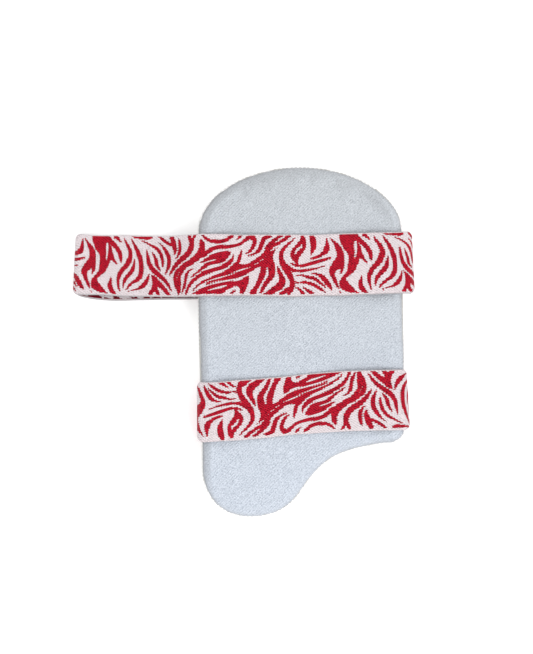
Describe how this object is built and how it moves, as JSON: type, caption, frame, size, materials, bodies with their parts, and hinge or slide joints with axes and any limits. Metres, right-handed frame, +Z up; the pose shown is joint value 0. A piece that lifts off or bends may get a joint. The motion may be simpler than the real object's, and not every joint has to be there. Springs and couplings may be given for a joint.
{
  "type": "cricket thigh guard",
  "caption": "Padded thigh guard with a domed waist end and a side tongue, towelling on the leg face, and elastic waist and thigh straps wrapped round it for storage.",
  "frame": {"origin": "under the middle of the whole guard, straps included, on the surface that it lies on", "axes": "+Z up out of the towelling leg face, +Y along the pad towards its domed waist end, +X across the pad away from the tongue side"},
  "size_m": [0.335, 0.34, 0.0355],
  "materials": {
    "towelling": "pale bluish-white cotton towelling with short loops",
    "shell_cloth": "plain off-white woven cloth over moulded foam",
    "printed_elastic": "woven elastic with a red and white zebra figure, white selvages, matt",
    "hook_and_loop": "off-white hook-and-loop tape, matt"
  },
  "bodies": {
    "root": {"outer_shell": "shell_cloth", "towelling_cushion": "towelling", "waist_strap": "printed_elastic", "thigh_strap": "printed_elastic", "waist_strap_patch": "hook_and_loop", "thigh_strap_patch": "hook_and_loop"}
  },
  "joints": []
}
